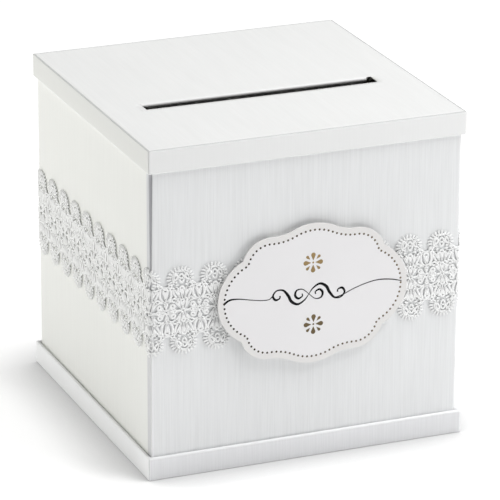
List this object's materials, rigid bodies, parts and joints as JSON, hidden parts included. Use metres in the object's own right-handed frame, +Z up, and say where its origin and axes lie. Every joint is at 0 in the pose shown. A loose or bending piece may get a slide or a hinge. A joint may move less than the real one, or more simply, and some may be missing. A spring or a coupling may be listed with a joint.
{
  "type": "wedding card box",
  "caption": "Square card box for collecting envelopes: a base tray, a folded sleeve and a lift-off lid with a posting slot, a lace ribbon round the sleeve and a scalloped label.",
  "frame": {"origin": "centre of the base tray's underside, where the box stands", "axes": "+Z up, -Y towards the front face with the label, +X to the right as seen from the front"},
  "size_m": [0.2504, 0.2527, 0.254],
  "materials": {
    "embossed_card": "linen embossed, faintly pearlescent",
    "card_inside": "uncoated matte",
    "lace": "matte cotton thread",
    "label_card": "smooth, faintly pearlescent, with gold and black print",
    "foam": "matte foam"
  },
  "bodies": {
    "base_tray": {"base_floor_panel": "embossed_card", "base_front_rim": "embossed_card", "base_right_rim": "embossed_card", "base_back_rim": "embossed_card", "base_left_rim": "embossed_card", "base_tab_front_left": "card_inside", "base_tab_front_right": "card_inside", "base_tab_back_left": "card_inside", "base_tab_back_right": "card_inside"},
    "sleeve": {"sleeve_front_panel": "embossed_card", "sleeve_right_panel": "embossed_card", "sleeve_back_panel": "embossed_card", "sleeve_left_panel": "embossed_card", "sleeve_glue_tab": "card_inside", "lace_ribbon": "lace", "label_card": "label_card", "label_pad_upper_left": "foam", "label_pad_upper_right": "foam", "label_pad_lower_left": "foam", "label_pad_lower_right": "foam"},
    "lid": {"lid_top_panel": "embossed_card", "lid_front_rim": "embossed_card", "lid_right_rim": "embossed_card", "lid_back_rim": "embossed_card", "lid_left_rim": "embossed_card", "lid_tab_front_left": "card_inside", "lid_tab_front_right": "card_inside", "lid_tab_back_left": "card_inside", "lid_tab_back_right": "card_inside"},
    "slot_flap": {"slot_flap": "embossed_card"}
  },
  "joints": [
    {"name": "sleeve_lift", "type": "slide", "parent": "base_tray", "child": "sleeve", "axis": [0, 0, 1], "range_m": [0, 0.06]},
    {"name": "lid_lift", "type": "slide", "parent": "sleeve", "child": "lid", "axis": [0, 0, 1], "range_m": [0, 0.12]},
    {"name": "flap_crease", "type": "hinge", "parent": "lid", "child": "slot_flap", "pos_m": [0, -0.02175, 0.25295], "axis": [1, 0, 0], "range_deg": [-140, 30]}
  ]
}
